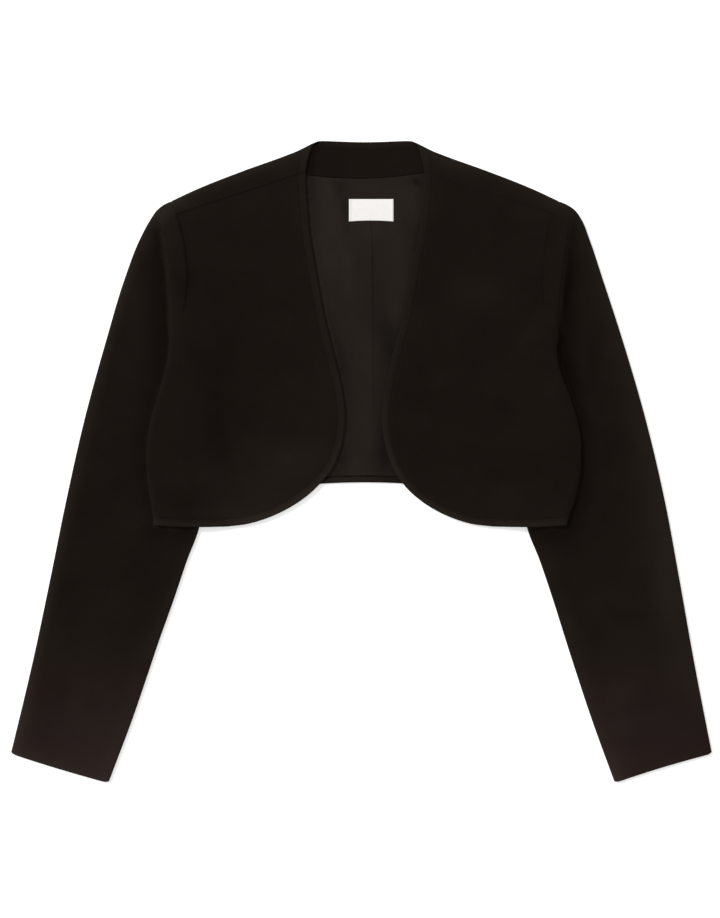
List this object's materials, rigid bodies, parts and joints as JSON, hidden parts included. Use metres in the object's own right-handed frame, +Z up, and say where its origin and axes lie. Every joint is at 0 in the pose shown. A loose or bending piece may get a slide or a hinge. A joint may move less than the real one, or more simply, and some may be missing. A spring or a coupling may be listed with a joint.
{
  "type": "cropped bolero shrug",
  "caption": "Collarless open-front cropped shrug with rounded fronts, long set-in sleeves and a lined back, laid flat with its fronts uppermost.",
  "frame": {"origin": "bottom centre of the laid garment's box, on the surface that it lies on", "axes": "+X across the garment towards the wearer's left, +Y up the garment towards the neck, +Z up from the surface"},
  "size_m": [0.7298, 0.668, 0.0104],
  "materials": {
    "outer_cloth": "smooth, matt black double knit with a faint warm cast",
    "satin_lining": "black satin with a soft sheen",
    "woven_label": "off-white woven taffeta, bare"
  },
  "bodies": {
    "root": {"back": "outer_cloth", "front_left": "outer_cloth", "front_right": "outer_cloth", "sleeve_left": "outer_cloth", "sleeve_right": "outer_cloth", "back_neck_facing": "outer_cloth", "back_lining": "satin_lining", "label": "woven_label"}
  },
  "joints": []
}
